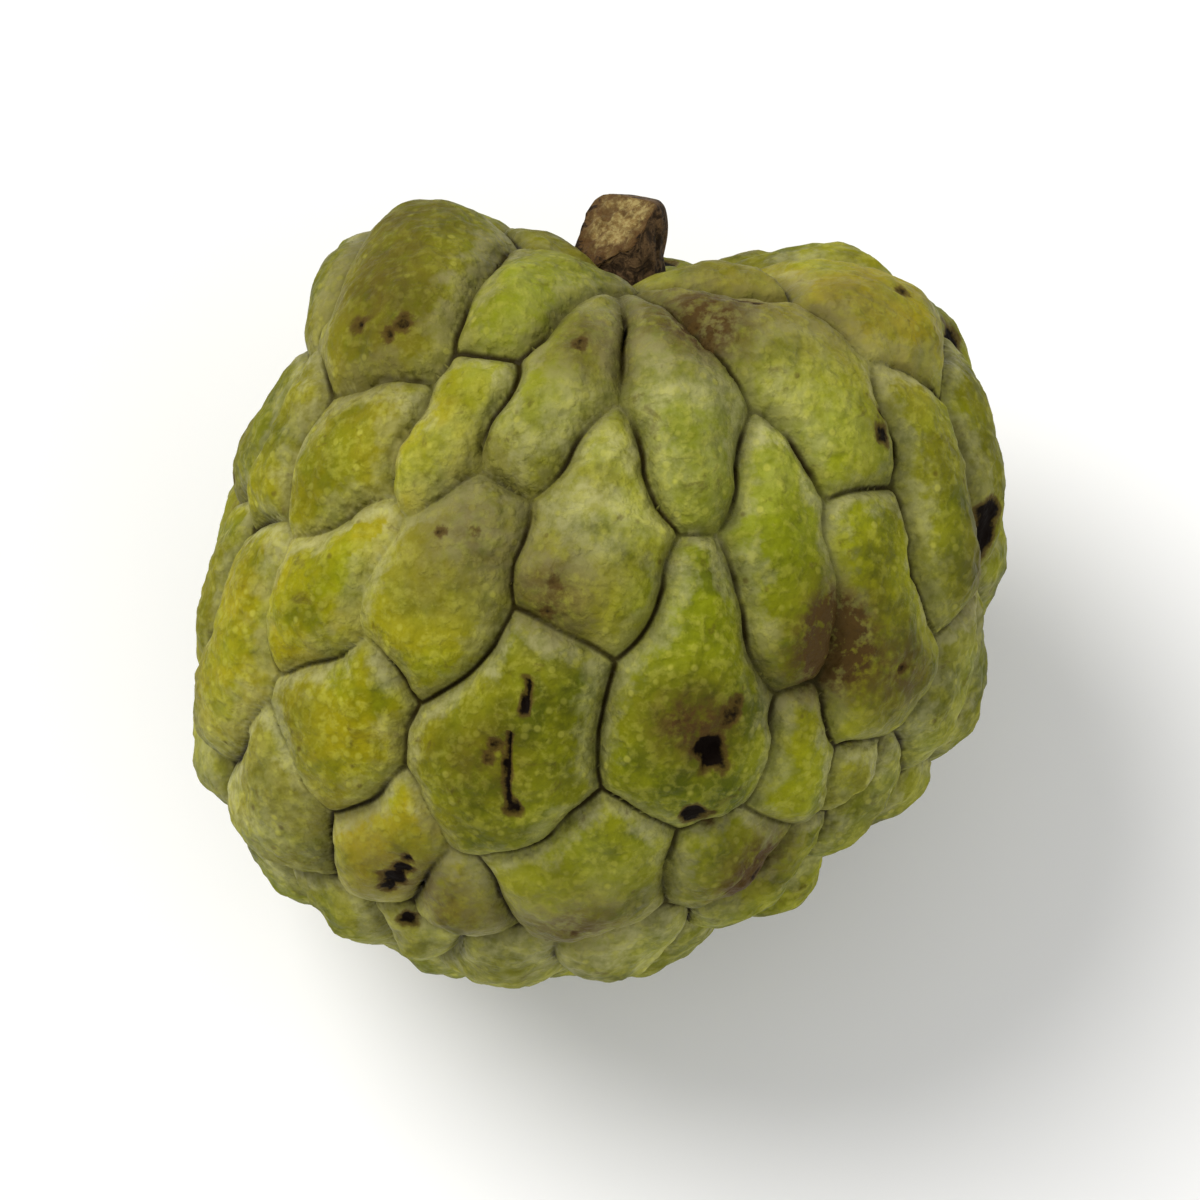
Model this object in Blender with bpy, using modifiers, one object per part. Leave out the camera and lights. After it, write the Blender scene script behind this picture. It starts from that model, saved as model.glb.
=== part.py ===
"""A sugar apple (Annona squamosa) as picked: one knobbly fruit with a short cut stalk.

The fruit grew as one piece, a cluster of fused carpels whose rounded tips cover it like
scales. It is shaped upright in its own frame: +Z runs out along the stalk, -Y is its front
and +X its right. An empty then lays it on its side, front up, on the small flat where it
rests. The row's frame has +Z up and its origin under the middle of the object's box.
Lengths are in metres and angles in degrees.
"""

import math

import bmesh
import bpy
import numpy as np
from mathutils import Euler, Matrix, Vector

# The fruit's body. Its radius and its half length are those of a plain round body, which
# the swells and dimples below are shares of.
BODY_RADIUS = 0.0394
BODY_HALF_LENGTH = 0.0385
BODY_SHARE = 0.984
SHOULDER_SWELL = 0.117
SHOULDER_LATITUDE = 54
SHOULDER_SPREAD = 27
STALK_DIMPLE = 0.156
DIMPLE_SPREAD = 26

# Where the body is fuller or flatter than that: longitude, latitude, spread, share.
UNEVEN_PLACES = (
    (-80, -35, 24, 0.085),
    (-40, -75, 21, 0.020),
    (80, -50, 26, -0.105),
    (-95, 26, 16, -0.110),
    (75, 18, 19, 0.047),
    (100, 48, 18, 0.095),
    (-80, 66, 14, 0.150),
    (180, 62, 24, -0.110),
    (-115, 68, 8, -0.035),
    (-96, 37, 6, -0.035),
    (-92, 19, 9, 0.050),
    (-88, -2, 8, -0.055),
    (88, -20, 9, 0.050),
    (84, -36, 6, -0.050),
    (81, -46, 6, 0.040),
)

# The carpels of the front. Each is a tapered lobe that runs down from the stalk: the
# longitude, latitude and half width of its upper end, and the same of its lower end.
FRONT_CARPELS = (
    (-98, 50, 4.0, -78, 46, 5.0),
    (-66, 61, 6.5, -46, 48, 8.5),
    (-19, 66, 3.0, -23, 51, 5.0),
    (-1, 53, 3.5, -11, 34, 7.0),
    (-21, 40, 3.5, -27, 28, 5.5),
    (8, 54, 3.0, 16, 32, 8.0),
    (25, 58, 3.5, 44, 34, 7.0),
    (2, 31, 6.5, 1, 15, 11.0),
    (17, 14, 5.5, 18, -9, 13.0),
    (29, 31, 5.5, 32, 8, 7.5),
    (46, 21, 6.0, 49, -1, 8.5),
    (64, 36, 5.0, 65, 18, 7.0),
    (80, 63, 3.5, 74, 46, 7.5),
    (125, 75, 2.5, 105, 60, 4.5),
    (74, 0, 4.0, 72, -11, 7.0),
    (35, -7, 3.5, 39, -21, 5.5),
    (35, -29, 5.5, 32, -32, 7.0),
    (50, -16, 3.0, 52, -19, 3.5),
    (-5, 1, 7.5, -11, -17, 13.0),
    (-18, 20, 7.0, -23, 6, 10.5),
    (-37, 17, 4.0, -43, 4, 7.5),
    (-39, 33, 4.0, -44, 23, 7.5),
    (-63, 30, 3.0, -64, 19, 5.5),
    (-60, 7, 5.5, -67, -12, 8.5),
    (-33, -6, 5.5, -39, -17, 9.0),
    (-52, -23, 6.0, -57, -31, 7.5),
    (-28, -26, 4.0, -37, -37, 7.0),
    (-62, -49, 4.0, -60, -52, 5.0),
    (-80, -42, 3.0, -78, -46, 4.0),
    (-20, -42, 4.5, -23, -46, 5.5),
    (-38, -54, 3.5, -42, -57, 4.0),
    (6, -29, 7.0, 1, -39, 10.0),
    (-18, -62, 4.5, -24, -68, 5.5),
    (20, -57, 4.0, 16, -62, 5.0),
    (-84, -22, 3.0, -84, -27, 4.0),
)

# The back has the same kind of carpels, one put where the most room is left, until no
# room is over HIDDEN_ROOM wide. They are widest at the middle of the fruit's height.
HIDDEN_ROOM = 8.0
HIDDEN_WIDEST = 9.0
HIDDEN_NARROWEST = 4.5
HIDDEN_TAPER = 0.6
HIDDEN_LENGTH = 1.6
HIDDEN_STEPS = 4000
HIDDEN_LAST_LATITUDE = 88

# The relief of the carpels over the grooves between them: a steep flank beside the groove
# that rounds off to a flat top, the faster the higher the roundness.
CARPEL_RELIEF = 0.0029
CARPEL_SHOULDER = 0.0068
CARPEL_ROUNDNESS = 2.5
CORNER_EASE = 0.0008
UPPER_END_HEIGHT = 0.82
LOWER_END_RISE = 0.28
HEIGHT_VARIATION = 0.12
HEIGHT_SEED = 11

# The cut stalk and the socket in the fruit that it grows from. The root narrows to the
# stalk over a height that is its taper times the step in radius.
STALK_DIAMETER = 0.0084
STALK_ROOT_DIAMETER = 0.0100
STALK_ROOT_HEIGHT = 0.0060
STALK_ROOT_TAPER = 2
STALK_STANDING = 0.0100
STALK_EDGE = 0.0006
STALK_SIDES = 24
STALK_CUT_SLOPE = 50
STALK_CUT_FACES = -40
STALK_CUT_PAST_AXIS = 0.0010
SOCKET_DEPTH = 0.0060
SEAT_GAP = 0.0003

# How it lies: the stalk leans over backwards and swings to the right, and the carpels
# that touch the table are pressed flat by this much.
LEAN = 65
SWING = 5
REST_FLAT_DEPTH = 0.0010

# The mesh: squares along an edge of the cube it starts from, and the share of the
# triangles that is kept, most of them in the grooves.
CUBE_DIVISIONS = 46
KEPT_FACES = 0.26
CUTTER_MARGIN = 0.010

FRUIT_COLOR = (0.235, 0.262, 0.045, 1.0)
FRUIT_ROUGHNESS = 0.5
STALK_COLOR = (0.125, 0.072, 0.032, 1.0)
STALK_ROUGHNESS = 0.8


def unit(vectors):
    return vectors / np.linalg.norm(vectors, axis=-1, keepdims=True)


def direction(longitude, latitude):
    """The unit vector to a place: longitude 0 is the front, 90 the right."""
    longitude = np.radians(longitude)
    latitude = np.radians(latitude)
    across = np.cos(latitude)
    return np.stack([np.sin(longitude) * across, -np.cos(longitude) * across, np.sin(latitude)], -1)


def angle_between(directions, place):
    return np.degrees(np.arccos(np.clip(directions @ place, -1, 1)))


def body_share(directions):
    """The smooth body under the carpels, as a share of the plain round one."""
    latitude = np.degrees(np.arcsin(np.clip(directions[:, 2], -1, 1)))
    shoulder = np.exp(-(((latitude - SHOULDER_LATITUDE) / SHOULDER_SPREAD) ** 2))
    dimple = np.exp(-(((90 - latitude) / DIMPLE_SPREAD) ** 2))
    share = BODY_SHARE + SHOULDER_SWELL * shoulder - STALK_DIMPLE * dimple
    for longitude, place_latitude, spread, height in UNEVEN_PLACES:
        away = angle_between(directions, direction(longitude, place_latitude))
        share += height * np.exp(-0.5 * (away / spread) ** 2)
    return share


def carpel_gaps(directions, carpels):
    """For each direction and carpel: how far outside the lobe it is, in radians, and how
    far down the lobe, from 0 at the upper end to 1 at the lower."""
    rows = np.array(carpels, float)
    upper = direction(rows[:, 0], rows[:, 1])
    run = direction(rows[:, 3], rows[:, 4]) - upper
    upper_width = np.radians(rows[:, 2])
    widening = np.radians(rows[:, 5]) - upper_width
    down = ((directions[:, None, :] - upper) * run).sum(-1) / (run * run).sum(-1)
    down = np.clip(down, 0, 1)
    away = np.linalg.norm(directions[:, None, :] - upper - run * down[..., None], axis=-1)
    return away - upper_width - widening * down, down


def spread_directions(count):
    """Evenly spread directions, along a spiral from pole to pole."""
    steps = np.arange(count) + 0.5
    height = 1 - 2 * steps / count
    turn = math.pi * (1 + math.sqrt(5)) * steps
    across = np.sqrt(1 - height**2)
    return np.stack([np.cos(turn) * across, np.sin(turn) * across, height], -1)


def hidden_carpel(place):
    """A carpel of the back, centred on this place."""
    latitude = math.degrees(math.asin(place[2]))
    longitude = math.degrees(math.atan2(place[0], -place[1]))
    fullness = math.cos(math.radians(latitude)) ** 2
    width = HIDDEN_NARROWEST + (HIDDEN_WIDEST - HIDDEN_NARROWEST) * fullness
    reach = width * HIDDEN_LENGTH / 2
    upper = min(latitude + reach, HIDDEN_LAST_LATITUDE)
    lower = max(latitude - reach, -HIDDEN_LAST_LATITUDE)
    return (longitude, upper, width * HIDDEN_TAPER, longitude, lower, width)


def all_carpels():
    carpels = list(FRONT_CARPELS)
    places = spread_directions(HIDDEN_STEPS)
    room = carpel_gaps(places, carpels)[0].min(axis=1)
    while room.max() > math.radians(HIDDEN_ROOM):
        added = hidden_carpel(places[room.argmax()])
        carpels.append(added)
        room = np.minimum(room, carpel_gaps(places, [added])[0][:, 0])
    return carpels


def relief(directions, carpels):
    """How far each point rises from the grooves' floor."""
    gaps, down = carpel_gaps(directions, carpels)
    picked = np.arange(len(directions))
    nearest = gaps.argmin(axis=1)
    own_gap = gaps[picked, nearest]
    own_down = down[picked, nearest]
    gaps[picked, nearest] = np.inf
    # The nearest of the others, eased where two of them are equally near.
    ease = CORNER_EASE / BODY_RADIUS
    other_gap = own_gap - ease * np.log(np.exp((own_gap[:, None] - gaps) / ease).sum(axis=1))
    inside = np.clip(other_gap - own_gap, 0, None) / 2 * BODY_RADIUS
    dome = 1 - (1 - np.clip(inside / CARPEL_SHOULDER, 0, 1)) ** CARPEL_ROUNDNESS
    variation = np.random.default_rng(HEIGHT_SEED).uniform(-1, 1, len(carpels)) * HEIGHT_VARIATION
    tallness = (1 + variation[nearest]) * (UPPER_END_HEIGHT + LOWER_END_RISE * own_down)
    return CARPEL_RELIEF * dome * tallness


def fruit_surface(directions, carpels):
    """The points of the fruit's skin in these directions, in its upright frame."""
    size = np.array([BODY_RADIUS, BODY_RADIUS, BODY_HALF_LENGTH])
    body = directions * body_share(directions)[:, None] * size
    return body + directions * (relief(directions, carpels) - CARPEL_RELIEF)[:, None]


def cube_sphere(name, divisions):
    """A cube, divided and blown up to a unit sphere, so that its squares stay even."""
    cube = bmesh.new()
    bmesh.ops.create_cube(cube, size=2)
    bmesh.ops.subdivide_edges(cube, edges=cube.edges[:], cuts=divisions - 1, use_grid_fill=True)
    for vertex in cube.verts:
        vertex.co = [math.tan(value * math.pi / 4) for value in vertex.co]
        vertex.co.normalize()
    mesh = bpy.data.meshes.new(name)
    cube.to_mesh(mesh)
    cube.free()
    return mesh


def mesh_points(mesh):
    points = np.empty(len(mesh.vertices) * 3, np.float32)
    mesh.vertices.foreach_get("co", points)
    return points.reshape(-1, 3).astype(float)


def plain_material(name, color, roughness):
    material = bpy.data.materials.new(name)
    material.use_nodes = True
    shader = material.node_tree.nodes["Principled BSDF"]
    shader.inputs["Base Color"].default_value = color
    shader.inputs["Roughness"].default_value = roughness
    shader.inputs["Metallic"].default_value = 0.0
    material.diffuse_color = color
    return material


def new_collection(name):
    collection = bpy.data.collections.new(name)
    bpy.context.scene.collection.children.link(collection)
    return collection


def place_cutter(mesh, name, parent):
    cutter = bpy.data.objects.new(name, mesh)
    cutter.display_type = "WIRE"
    cutter.hide_render = True
    cutter.parent = parent
    bpy.data.collections["cutters"].objects.link(cutter)
    return cutter


def cut_away(target, cutter):
    cut = target.modifiers.new(cutter.name, "BOOLEAN")
    cut.operation = "DIFFERENCE"
    cut.solver = "EXACT"
    cut.object = cutter


def box_mesh(name, size):
    box = bmesh.new()
    bmesh.ops.create_cube(box, size=size)
    mesh = bpy.data.meshes.new(name)
    box.to_mesh(mesh)
    box.free()
    return mesh


def make_fruit(carpels, lying):
    mesh = cube_sphere("fruit", CUBE_DIVISIONS)
    skin = fruit_surface(unit(mesh_points(mesh)), carpels)
    mesh.vertices.foreach_set("co", skin.astype(np.float32).ravel())
    mesh.update()
    mesh.shade_smooth()
    mesh.materials.append(plain_material("fruit_skin", FRUIT_COLOR, FRUIT_ROUGHNESS))
    fruit = bpy.data.objects.new("fruit", mesh)
    fruit.parent = lying
    bpy.data.collections["sugar_apple"].objects.link(fruit)
    fewer = fruit.modifiers.new("fewer_faces", "DECIMATE")
    fewer.ratio = KEPT_FACES
    return fruit


def stalk_seat(carpels):
    """How high the skin is at the stalk, on the fruit's axis."""
    return float(fruit_surface(np.array([[0.0, 0.0, 1.0]]), carpels)[0, 2])


def cut_socket(fruit, seat, lying):
    """The round socket that holds the stalk's root."""
    cylinder = bmesh.new()
    depth = SOCKET_DEPTH + CUTTER_MARGIN
    radius = STALK_ROOT_DIAMETER / 2 + SEAT_GAP
    bmesh.ops.create_cone(
        cylinder,
        cap_ends=True,
        segments=STALK_SIDES,
        radius1=radius,
        radius2=radius,
        depth=depth,
        matrix=Matrix.Translation((0, 0, seat - SOCKET_DEPTH + depth / 2)),
    )
    mesh = bpy.data.meshes.new("stalk_socket")
    cylinder.to_mesh(mesh)
    cylinder.free()
    cut_away(fruit, place_cutter(mesh, "stalk_socket", lying))


def make_stalk(seat, lying):
    """The stalk, a turned profile with a thicker root."""
    root = seat - SOCKET_DEPTH + SEAT_GAP
    end = seat + STALK_STANDING
    radius = STALK_DIAMETER / 2
    root_radius = STALK_ROOT_DIAMETER / 2
    profile = (
        (0, end),
        (radius, end),
        (radius, root + STALK_ROOT_HEIGHT + (root_radius - radius) * STALK_ROOT_TAPER),
        (root_radius, root + STALK_ROOT_HEIGHT),
        (root_radius, root + STALK_EDGE),
        (root_radius - STALK_EDGE, root),
        (0, root),
    )
    mesh = bpy.data.meshes.new("stalk")
    edges = [(index, index + 1) for index in range(len(profile) - 1)]
    mesh.from_pydata([(out, 0, up) for out, up in profile], edges, [])
    mesh.materials.append(plain_material("stalk_bark", STALK_COLOR, STALK_ROUGHNESS))
    stalk = bpy.data.objects.new("stalk", mesh)
    stalk.parent = lying
    bpy.data.collections["sugar_apple"].objects.link(stalk)
    turned = stalk.modifiers.new("turned", "SCREW")
    turned.steps = STALK_SIDES
    turned.render_steps = STALK_SIDES
    turned.use_merge_vertices = True
    turned.merge_threshold = 0.00001
    return stalk


def cut_stalk_end(stalk, seat, lying):
    """The slanting cut across the stalk's end, whose face looks to the front and left."""
    side = STALK_DIAMETER * 2 + CUTTER_MARGIN
    cutter = place_cutter(box_mesh("stalk_end", side), "stalk_end", lying)
    facing = Vector(direction(STALK_CUT_FACES, 90 - STALK_CUT_SLOPE))
    sideways = Vector(direction(STALK_CUT_FACES, 0))
    start = Vector((0, 0, seat + STALK_STANDING)) - sideways * STALK_CUT_PAST_AXIS
    cutter.rotation_euler = facing.to_track_quat("Z", "Y").to_euler()
    cutter.location = start + facing * side / 2
    cut_away(stalk, cutter)


def lay_down(lying, skin):
    """Lays the fruit on its side, sunk into the table by the depth of its flat."""
    turn = Euler((math.radians(-LEAN), 0, math.radians(-SWING)))
    points = skin @ np.array(turn.to_matrix()).T
    lying.rotation_euler = turn
    lying.location = (0, 0, -points[:, 2].min() - REST_FLAT_DEPTH)


def final_points(piece):
    """The points of a piece as it is in the end, cut and in place."""
    shape = piece.evaluated_get(bpy.context.evaluated_depsgraph_get())
    place = np.array(shape.matrix_world)
    return mesh_points(shape.data) @ place[:3, :3].T + place[:3, 3]


def centre_over_origin(lying, pieces):
    """Slides the fruit over the table, so that the middle of its box is over the origin."""
    bpy.context.view_layer.update()
    points = np.concatenate([final_points(piece) for piece in pieces])
    middle = (points.min(axis=0) + points.max(axis=0)) / 2
    lying.location.x -= middle[0]
    lying.location.y -= middle[1]
    bpy.context.view_layer.update()


def press_rest_flat(fruit):
    """The flat where the carpels underneath touch the table."""
    side = (BODY_RADIUS + BODY_HALF_LENGTH + CUTTER_MARGIN) * 2
    table = place_cutter(box_mesh("rest_flat", side), "rest_flat", None)
    table.location = (0, 0, -side / 2)
    cut_away(fruit, table)


def main():
    for old in list(bpy.data.objects):
        bpy.data.objects.remove(old)
    new_collection("sugar_apple")
    new_collection("cutters")
    lying = bpy.data.objects.new("lying", None)
    bpy.data.collections["sugar_apple"].objects.link(lying)
    carpels = all_carpels()
    seat = stalk_seat(carpels)
    fruit = make_fruit(carpels, lying)
    lay_down(lying, mesh_points(fruit.data))
    cut_socket(fruit, seat, lying)
    press_rest_flat(fruit)
    stalk = make_stalk(seat, lying)
    cut_stalk_end(stalk, seat, lying)
    centre_over_origin(lying, (fruit, stalk))


main()
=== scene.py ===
"""The looks of a sugar apple that lies on its side: a detailed skin over the same carpels
as the CAD fruit, and a rough cut stalk. Lengths are in metres and angles in degrees."""

import math

import bmesh
import bpy
import numpy as np
from mathutils import Euler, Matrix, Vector

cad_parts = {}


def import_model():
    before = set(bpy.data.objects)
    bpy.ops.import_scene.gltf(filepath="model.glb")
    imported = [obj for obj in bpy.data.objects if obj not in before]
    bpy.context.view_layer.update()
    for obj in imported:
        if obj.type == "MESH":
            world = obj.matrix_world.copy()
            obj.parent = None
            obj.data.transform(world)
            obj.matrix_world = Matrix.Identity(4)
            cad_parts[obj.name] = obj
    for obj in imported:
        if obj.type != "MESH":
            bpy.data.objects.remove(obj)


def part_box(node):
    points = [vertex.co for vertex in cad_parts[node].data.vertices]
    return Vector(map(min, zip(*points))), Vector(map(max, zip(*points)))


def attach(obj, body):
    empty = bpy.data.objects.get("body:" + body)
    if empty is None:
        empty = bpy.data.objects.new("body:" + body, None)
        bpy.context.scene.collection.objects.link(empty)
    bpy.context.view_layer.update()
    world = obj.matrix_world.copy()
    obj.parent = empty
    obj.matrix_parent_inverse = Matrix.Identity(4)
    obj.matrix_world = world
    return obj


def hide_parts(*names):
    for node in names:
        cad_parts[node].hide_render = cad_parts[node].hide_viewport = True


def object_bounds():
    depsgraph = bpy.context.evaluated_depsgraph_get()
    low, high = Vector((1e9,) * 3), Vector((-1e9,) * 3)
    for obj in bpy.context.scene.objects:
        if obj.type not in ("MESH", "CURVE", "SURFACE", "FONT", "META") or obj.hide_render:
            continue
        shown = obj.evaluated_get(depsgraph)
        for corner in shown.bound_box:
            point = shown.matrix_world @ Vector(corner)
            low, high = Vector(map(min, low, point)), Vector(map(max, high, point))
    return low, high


# ---- The fruit's form, as in the CAD part ----
BODY_RADIUS = 0.0394
BODY_HALF_LENGTH = 0.0385
BODY_SHARE = 0.984
SHOULDER_SWELL = 0.117
SHOULDER_LATITUDE = 54
SHOULDER_SPREAD = 27
STALK_DIMPLE = 0.156
DIMPLE_SPREAD = 26
TOP = np.array([0.0, 0.0, 1.0])

# Where the body is fuller or flatter: longitude, latitude, spread, share.
UNEVEN_PLACES = (
    (-80, -35, 24, 0.085),
    (-40, -75, 21, 0.020),
    (80, -50, 26, -0.105),
    (-95, 26, 16, -0.110),
    (75, 18, 19, 0.047),
    (100, 48, 18, 0.095),
    (-80, 66, 14, 0.150),
    (180, 62, 24, -0.110),
    (-115, 68, 8, -0.035),
    (-96, 37, 6, -0.035),
    (-92, 19, 9, 0.050),
    (-88, -2, 8, -0.055),
    (88, -20, 9, 0.050),
    (84, -36, 6, -0.050),
    (81, -46, 6, 0.040),
)

# The carpels of the front: longitude, latitude and half width of the upper end, then of
# the lower end.
FRONT_CARPELS = (
    (-98, 50, 4.0, -78, 46, 5.0),
    (-66, 61, 6.5, -46, 48, 8.5),
    (-19, 66, 3.0, -23, 51, 5.0),
    (-1, 53, 3.5, -11, 34, 7.0),
    (-21, 40, 3.5, -27, 28, 5.5),
    (8, 54, 3.0, 16, 32, 8.0),
    (25, 58, 3.5, 44, 34, 7.0),
    (2, 31, 6.5, 1, 15, 11.0),
    (17, 14, 5.5, 18, -9, 13.0),
    (29, 31, 5.5, 32, 8, 7.5),
    (46, 21, 6.0, 49, -1, 8.5),
    (64, 36, 5.0, 65, 18, 7.0),
    (80, 63, 3.5, 74, 46, 7.5),
    (125, 75, 2.5, 105, 60, 4.5),
    (74, 0, 4.0, 72, -11, 7.0),
    (35, -7, 3.5, 39, -21, 5.5),
    (35, -29, 5.5, 32, -32, 7.0),
    (50, -16, 3.0, 52, -19, 3.5),
    (-5, 1, 7.5, -11, -17, 13.0),
    (-18, 20, 7.0, -23, 6, 10.5),
    (-37, 17, 4.0, -43, 4, 7.5),
    (-39, 33, 4.0, -44, 23, 7.5),
    (-63, 30, 3.0, -64, 19, 5.5),
    (-60, 7, 5.5, -67, -12, 8.5),
    (-33, -6, 5.5, -39, -17, 9.0),
    (-52, -23, 6.0, -57, -31, 7.5),
    (-28, -26, 4.0, -37, -37, 7.0),
    (-62, -49, 4.0, -60, -52, 5.0),
    (-80, -42, 3.0, -78, -46, 4.0),
    (-20, -42, 4.5, -23, -46, 5.5),
    (-38, -54, 3.5, -42, -57, 4.0),
    (6, -29, 7.0, 1, -39, 10.0),
    (-18, -62, 4.5, -24, -68, 5.5),
    (20, -57, 4.0, 16, -62, 5.0),
    (-84, -22, 3.0, -84, -27, 4.0),
)

# The carpels of the back are placed until nowhere is further than HIDDEN_ROOM from one.
HIDDEN_ROOM = 8.0
HIDDEN_WIDEST = 9.0
HIDDEN_NARROWEST = 4.5
HIDDEN_TAPER = 0.6
HIDDEN_LENGTH = 1.6
HIDDEN_STEPS = 4000
HIDDEN_LAST_LATITUDE = 88

# How far the carpels stand out, and how they round over into the seams.
CARPEL_RELIEF = 0.0029
CARPEL_SHOULDER = 0.0068
CARPEL_ROUNDNESS = 2.5
CORNER_EASE = 0.0008
UPPER_END_HEIGHT = 0.82
LOWER_END_RISE = 0.28
HEIGHT_VARIATION = 0.12
HEIGHT_SEED = 11

# The stalk, and how the upright fruit is laid down: leaned over, then swung.
STALK_DIAMETER = 0.0084
STALK_ROOT_DIAMETER = 0.0100
STALK_STANDING = 0.0100
STALK_CUT_SLOPE = 50
STALK_CUT_FACES = -40
STALK_CUT_PAST_AXIS = 0.0010
SOCKET_DEPTH = 0.0060
LEAN = 65
SWING = 5

# ---- Detail that only the looks have ----
# Squares along a side of each cube that is blown up into a mesh, the points worked out at a
# time, the waves in a random field, and how far from its middle an image map's square reaches.
SKIN_DIVISIONS = 129
STALK_DIVISIONS = 56
CHUNK = 20000
FIELD_WAVES = 28
MAP_HALF_SIDE = 0.49

# The seams between carpels wander a little, and are cut sharp where they are open.
SEAM_WANDER = 0.00016
SEAM_WANDER_LENGTH = 0.008
SEAM_WANDER_SEEDS = (1, 2, 3)
SEAM_SNAP = 0.00027
LEAST_STEEPNESS = 0.3
SEAM_CUT = 0.0006
SEAM_CUT_WIDTH = 0.0004
JOINED_FILL = 0.45

# Places where neighbours have grown together, so that the seam is a soft shallow valley:
# longitude, latitude, spread, strength.
GROWN_TOGETHER = (
    (-32, 10, 9, 0.8),
    (-47, 4, 7, 0.6),
    (-51, 25, 6, 0.6),
    (38, 15, 9, 0.85),
    (-21, -25, 7, 0.5),
    (16, -22, 6, 0.5),
    (-54, -17, 8, 0.7),
    (-42, -19, 6, 0.5),
    (-2, 8, 5, 0.6),
    (60, 43, 8, 0.6),
    (-65, 49, 9, 0.9),
    (39, -21, 8, 0.6),
    (15, -49, 8, 0.6),
    (32, -12, 6, 0.4),
    (65, -2, 8, 0.6),
    (-23, -35, 5, 0.5),
)

# Other stretches of seam are softened here and there by a field of this wavelength.
STRAY_JOINS = 0.35
STRAY_JOIN_LENGTH = 0.012
STRAY_JOIN_START = 0.6
STRAY_JOIN_SEED = 21

# Swells of the skin: wavelength, height, seed.
SKIN_SWELLS = (
    (0.011, 0.00010, 30),
    (0.0042, 0.00007, 31),
    (0.0021, 0.00006, 32),
    (0.0014, 0.00004, 33),
)

# The brown collar of skin around the stalk.
CROWN_SPREAD = 17

# The stalk's bark: it stays this far inside the CAD stalk, and has ridges along it, each
# with a wavelength, height and seed.
STALK_ROOT_ROOM = 0.0004
STALK_SQUARENESS = 9
STALK_FLARE_REACH = 0.22
BARK_ROOM = 0.0002
BARK_RIDGE_STRETCH = 0.006
BARK_RIDGES = ((0.0034, 0.00022, 61), (0.0013, 0.00010, 62))

# The rough wood of the cut, smooth at its edge.
SPLINTER_HEIGHT = 0.00012
SPLINTER_LENGTH = 0.0011
SPLINTER_STRETCH = np.array([1, 1, 0.35])
SPLINTER_FREE_EDGE = 0.0008
SPLINTER_SEED = 63

# Black scabs and pits: longitude, latitude, radius, depth, darkness.
SCABS = (
    (19.6, -9.4, 0.0015, 0.0008, 1.0),
    (20.4, -11.2, 0.0014, 0.0008, 1.0),
    (22, -4.5, 0.0011, 0.0003, 0.66),
    (22.6, -2.5, 0.0008, 0.0002, 0.55),
    (19.8, -21.0, 0.0014, 0.0008, 1.0),
    (23.5, -24, 0.0007, 0.0003, 0.62),
    (-32, -38, 0.0012, 0.0008, 1.0),
    (-30, -36, 0.0009, 0.0005, 0.95),
    (-34, -40, 0.0008, 0.0004, 0.9),
    (-28, -34, 0.0007, 0.0003, 0.7),
    (-10.8, -11.3, 0.0009, 0.0003, 0.62),
    (-11.8, -13.3, 0.0007, 0.0003, 0.6),
    (-8, -20.8, 0.0009, 0.0005, 0.9),
    (-49, 43, 0.0009, 0.0003, 0.72),
    (-40, 45, 0.0009, 0.0003, 0.66),
    (-42, 43, 0.0007, 0.0003, 0.60),
    (51, 34, 0.0011, 0.0005, 0.85),
    (53, 37, 0.0006, 0.0003, 0.7),
    (76.8, 20, 0.0014, 0.0002, 1.0),
    (76.8, 16.8, 0.0015, 0.0002, 1.0),
    (76.4, 13.8, 0.0012, 0.0002, 1.0),
    (-37, -50, 0.0009, 0.0004, 0.85),
    (-72, -11, 0.0006, 0.0002, 0.6),
    (-5, 47, 0.0007, 0.0002, 0.60),
    (28, 60, 0.0006, 0.0002, 0.7),
    (32, 57, 0.0006, 0.0002, 0.7),
    (36, 56, 0.0005, 0.0002, 0.6),
    (51, 1, 0.0006, 0.0002, 0.6),
    (40, 3, 0.0006, 0.0002, 0.62),
    (37, 8, 0.0006, 0.0002, 0.55),
    (42, 0, 0.0005, 0.0002, 0.55),
    (-4, 13, 0.0008, 0.0002, 0.55),
    (-5, 9, 0.0007, 0.0002, 0.58),
    (-22, 18, 0.0006, 0.0001, 0.55),
    (-17, 19, 0.0005, 0.0001, 0.5),
    (36, -34, 0.0011, 0.0003, 0.60),
    (33, -35, 0.0006, 0.0002, 0.55),
    (21, 50, 0.0009, 0.0003, 0.62),
    (19, 53, 0.0006, 0.0002, 0.55),
    (74, 51, 0.0008, 0.0003, 0.65),
    (3, -46, 0.0006, 0.0002, 0.50),
)

# Dark cracks: half width, and the places they run through as longitude and latitude.
CRACKS = (
    (0.00046, ((-6.5, -1.6), (-7, -5.6))),
    (0.00034, ((-8.7, -9.5), (-9.1, -14.5), (-8.5, -20.2))),
)
CRACK_DEPTH = 0.0006
CRACK_DARKNESS = 0.9

# How ragged the edges of scabs and cracks are.
WOBBLE_LENGTH = 0.0018
WOBBLE_SEED = 41
SPOT_WOBBLE = 0.14
CRACK_WOBBLE = 0.25

# The side that the lists don't cover, in longitude, and what a seeded draw scatters there.
UNLISTED_FROM = 85
UNLISTED_TO = 275
SCATTERED_SCABS = 46
LARGEST_SCATTERED_SCAB = 0.0018
DEEPEST_SCATTERED_SCAB = 0.0008
SCAB_SEED = 5
SCATTERED_RUSSET = 22
RUSSET_SEED = 8

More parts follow.
